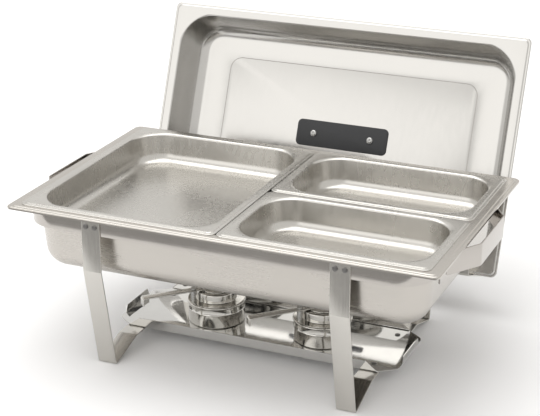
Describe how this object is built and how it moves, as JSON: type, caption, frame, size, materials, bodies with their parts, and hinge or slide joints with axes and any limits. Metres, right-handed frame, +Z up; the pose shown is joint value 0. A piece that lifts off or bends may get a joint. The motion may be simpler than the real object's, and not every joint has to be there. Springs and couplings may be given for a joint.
{
  "type": "chafing dish food warmer",
  "caption": "Stainless steel food warmer: a riveted strip stand, a water pan, lift-out food pans, fuel burners on a tray, and a lid standing on edge in rests behind it.",
  "frame": {"origin": "on the table under the middle of the whole set, lid and rests included", "axes": "+X along the long side, from the half-size pan to the quarter-size pans, +Y to the back where the lid stands, +Z up"},
  "size_m": [0.584, 0.5201, 0.3553],
  "materials": {
    "brushed_steel": "satin brushed stainless steel",
    "pan_steel": "fine satin drawn stainless steel",
    "mirror_steel": "mirror-polished stainless steel",
    "black_plastic": "black moulded heat-resistant plastic",
    "screw_steel": "plain turned steel",
    "insert_brass": "turned brass"
  },
  "bodies": {
    "stand": {"support_ring": "brushed_steel", "leg_strip_left": "brushed_steel", "leg_strip_right": "brushed_steel", "fuel_tray": "mirror_steel", "carry_handle_left": "brushed_steel", "carry_handle_right": "brushed_steel", "lid_rest_left": "brushed_steel", "lid_rest_right": "brushed_steel", "leg_rivets": "screw_steel", "handle_rivets": "screw_steel", "rest_rivets": "screw_steel", "tray_rivets": "screw_steel"},
    "water_pan": {"water_pan": "pan_steel"},
    "half_pan": {"half_food_pan": "pan_steel"},
    "quarter_pan_front": {"quarter_food_pan_front": "pan_steel"},
    "quarter_pan_rear": {"quarter_food_pan_rear": "pan_steel"},
    "lid": {"lid_shell": "pan_steel", "lid_inner_plate": "black_plastic", "lid_grip": "black_plastic", "grip_inserts": "insert_brass", "lid_screws": "screw_steel"},
    "burner_left": {"burner_cup_left": "mirror_steel", "fuel_can_left": "mirror_steel", "burner_collar_left": "mirror_steel", "snuffer_stud_left": "screw_steel"},
    "snuffer_left": {"snuffer_cap_left": "mirror_steel", "snuffer_lever_left": "mirror_steel", "cap_rivets_left": "screw_steel"},
    "burner_right": {"burner_cup_right": "mirror_steel", "fuel_can_right": "mirror_steel", "burner_collar_right": "mirror_steel", "snuffer_stud_right": "screw_steel"},
    "snuffer_right": {"snuffer_cap_right": "mirror_steel", "snuffer_lever_right": "mirror_steel", "cap_rivets_right": "screw_steel"}
  },
  "joints": [
    {"name": "water_pan_lift", "type": "slide", "parent": "stand", "child": "water_pan", "axis": [0, 0, 1], "range_m": [0, 0.11]},
    {"name": "half_pan_lift", "type": "slide", "parent": "water_pan", "child": "half_pan", "axis": [0, 0, 1], "range_m": [0, 0.09]},
    {"name": "quarter_pan_front_lift", "type": "slide", "parent": "water_pan", "child": "quarter_pan_front", "axis": [0, 0, 1], "range_m": [0, 0.09]},
    {"name": "quarter_pan_rear_lift", "type": "slide", "parent": "water_pan", "child": "quarter_pan_rear", "axis": [0, 0, 1], "range_m": [0, 0.09]},
    {"name": "lid_lift", "type": "slide", "parent": "stand", "child": "lid", "axis": [0, 0.3746, 0.9272], "range_m": [0, 0.12]},
    {"name": "burner_left_lift", "type": "slide", "parent": "stand", "child": "burner_left", "axis": [0, 0, 1], "range_m": [0, 0.035]},
    {"name": "snuffer_left_swing", "type": "hinge", "parent": "burner_left", "child": "snuffer_left", "pos_m": [-0.09763, -0.1089, 0.0627], "axis": [0, 0, 1], "range_deg": [0, 75]},
    {"name": "burner_right_lift", "type": "slide", "parent": "stand", "child": "burner_right", "axis": [0, 0, 1], "range_m": [0, 0.035]},
    {"name": "snuffer_right_swing", "type": "hinge", "parent": "burner_right", "child": "snuffer_right", "pos_m": [0.05237, -0.1089, 0.0627], "axis": [0, 0, 1], "range_deg": [0, 75]}
  ]
}
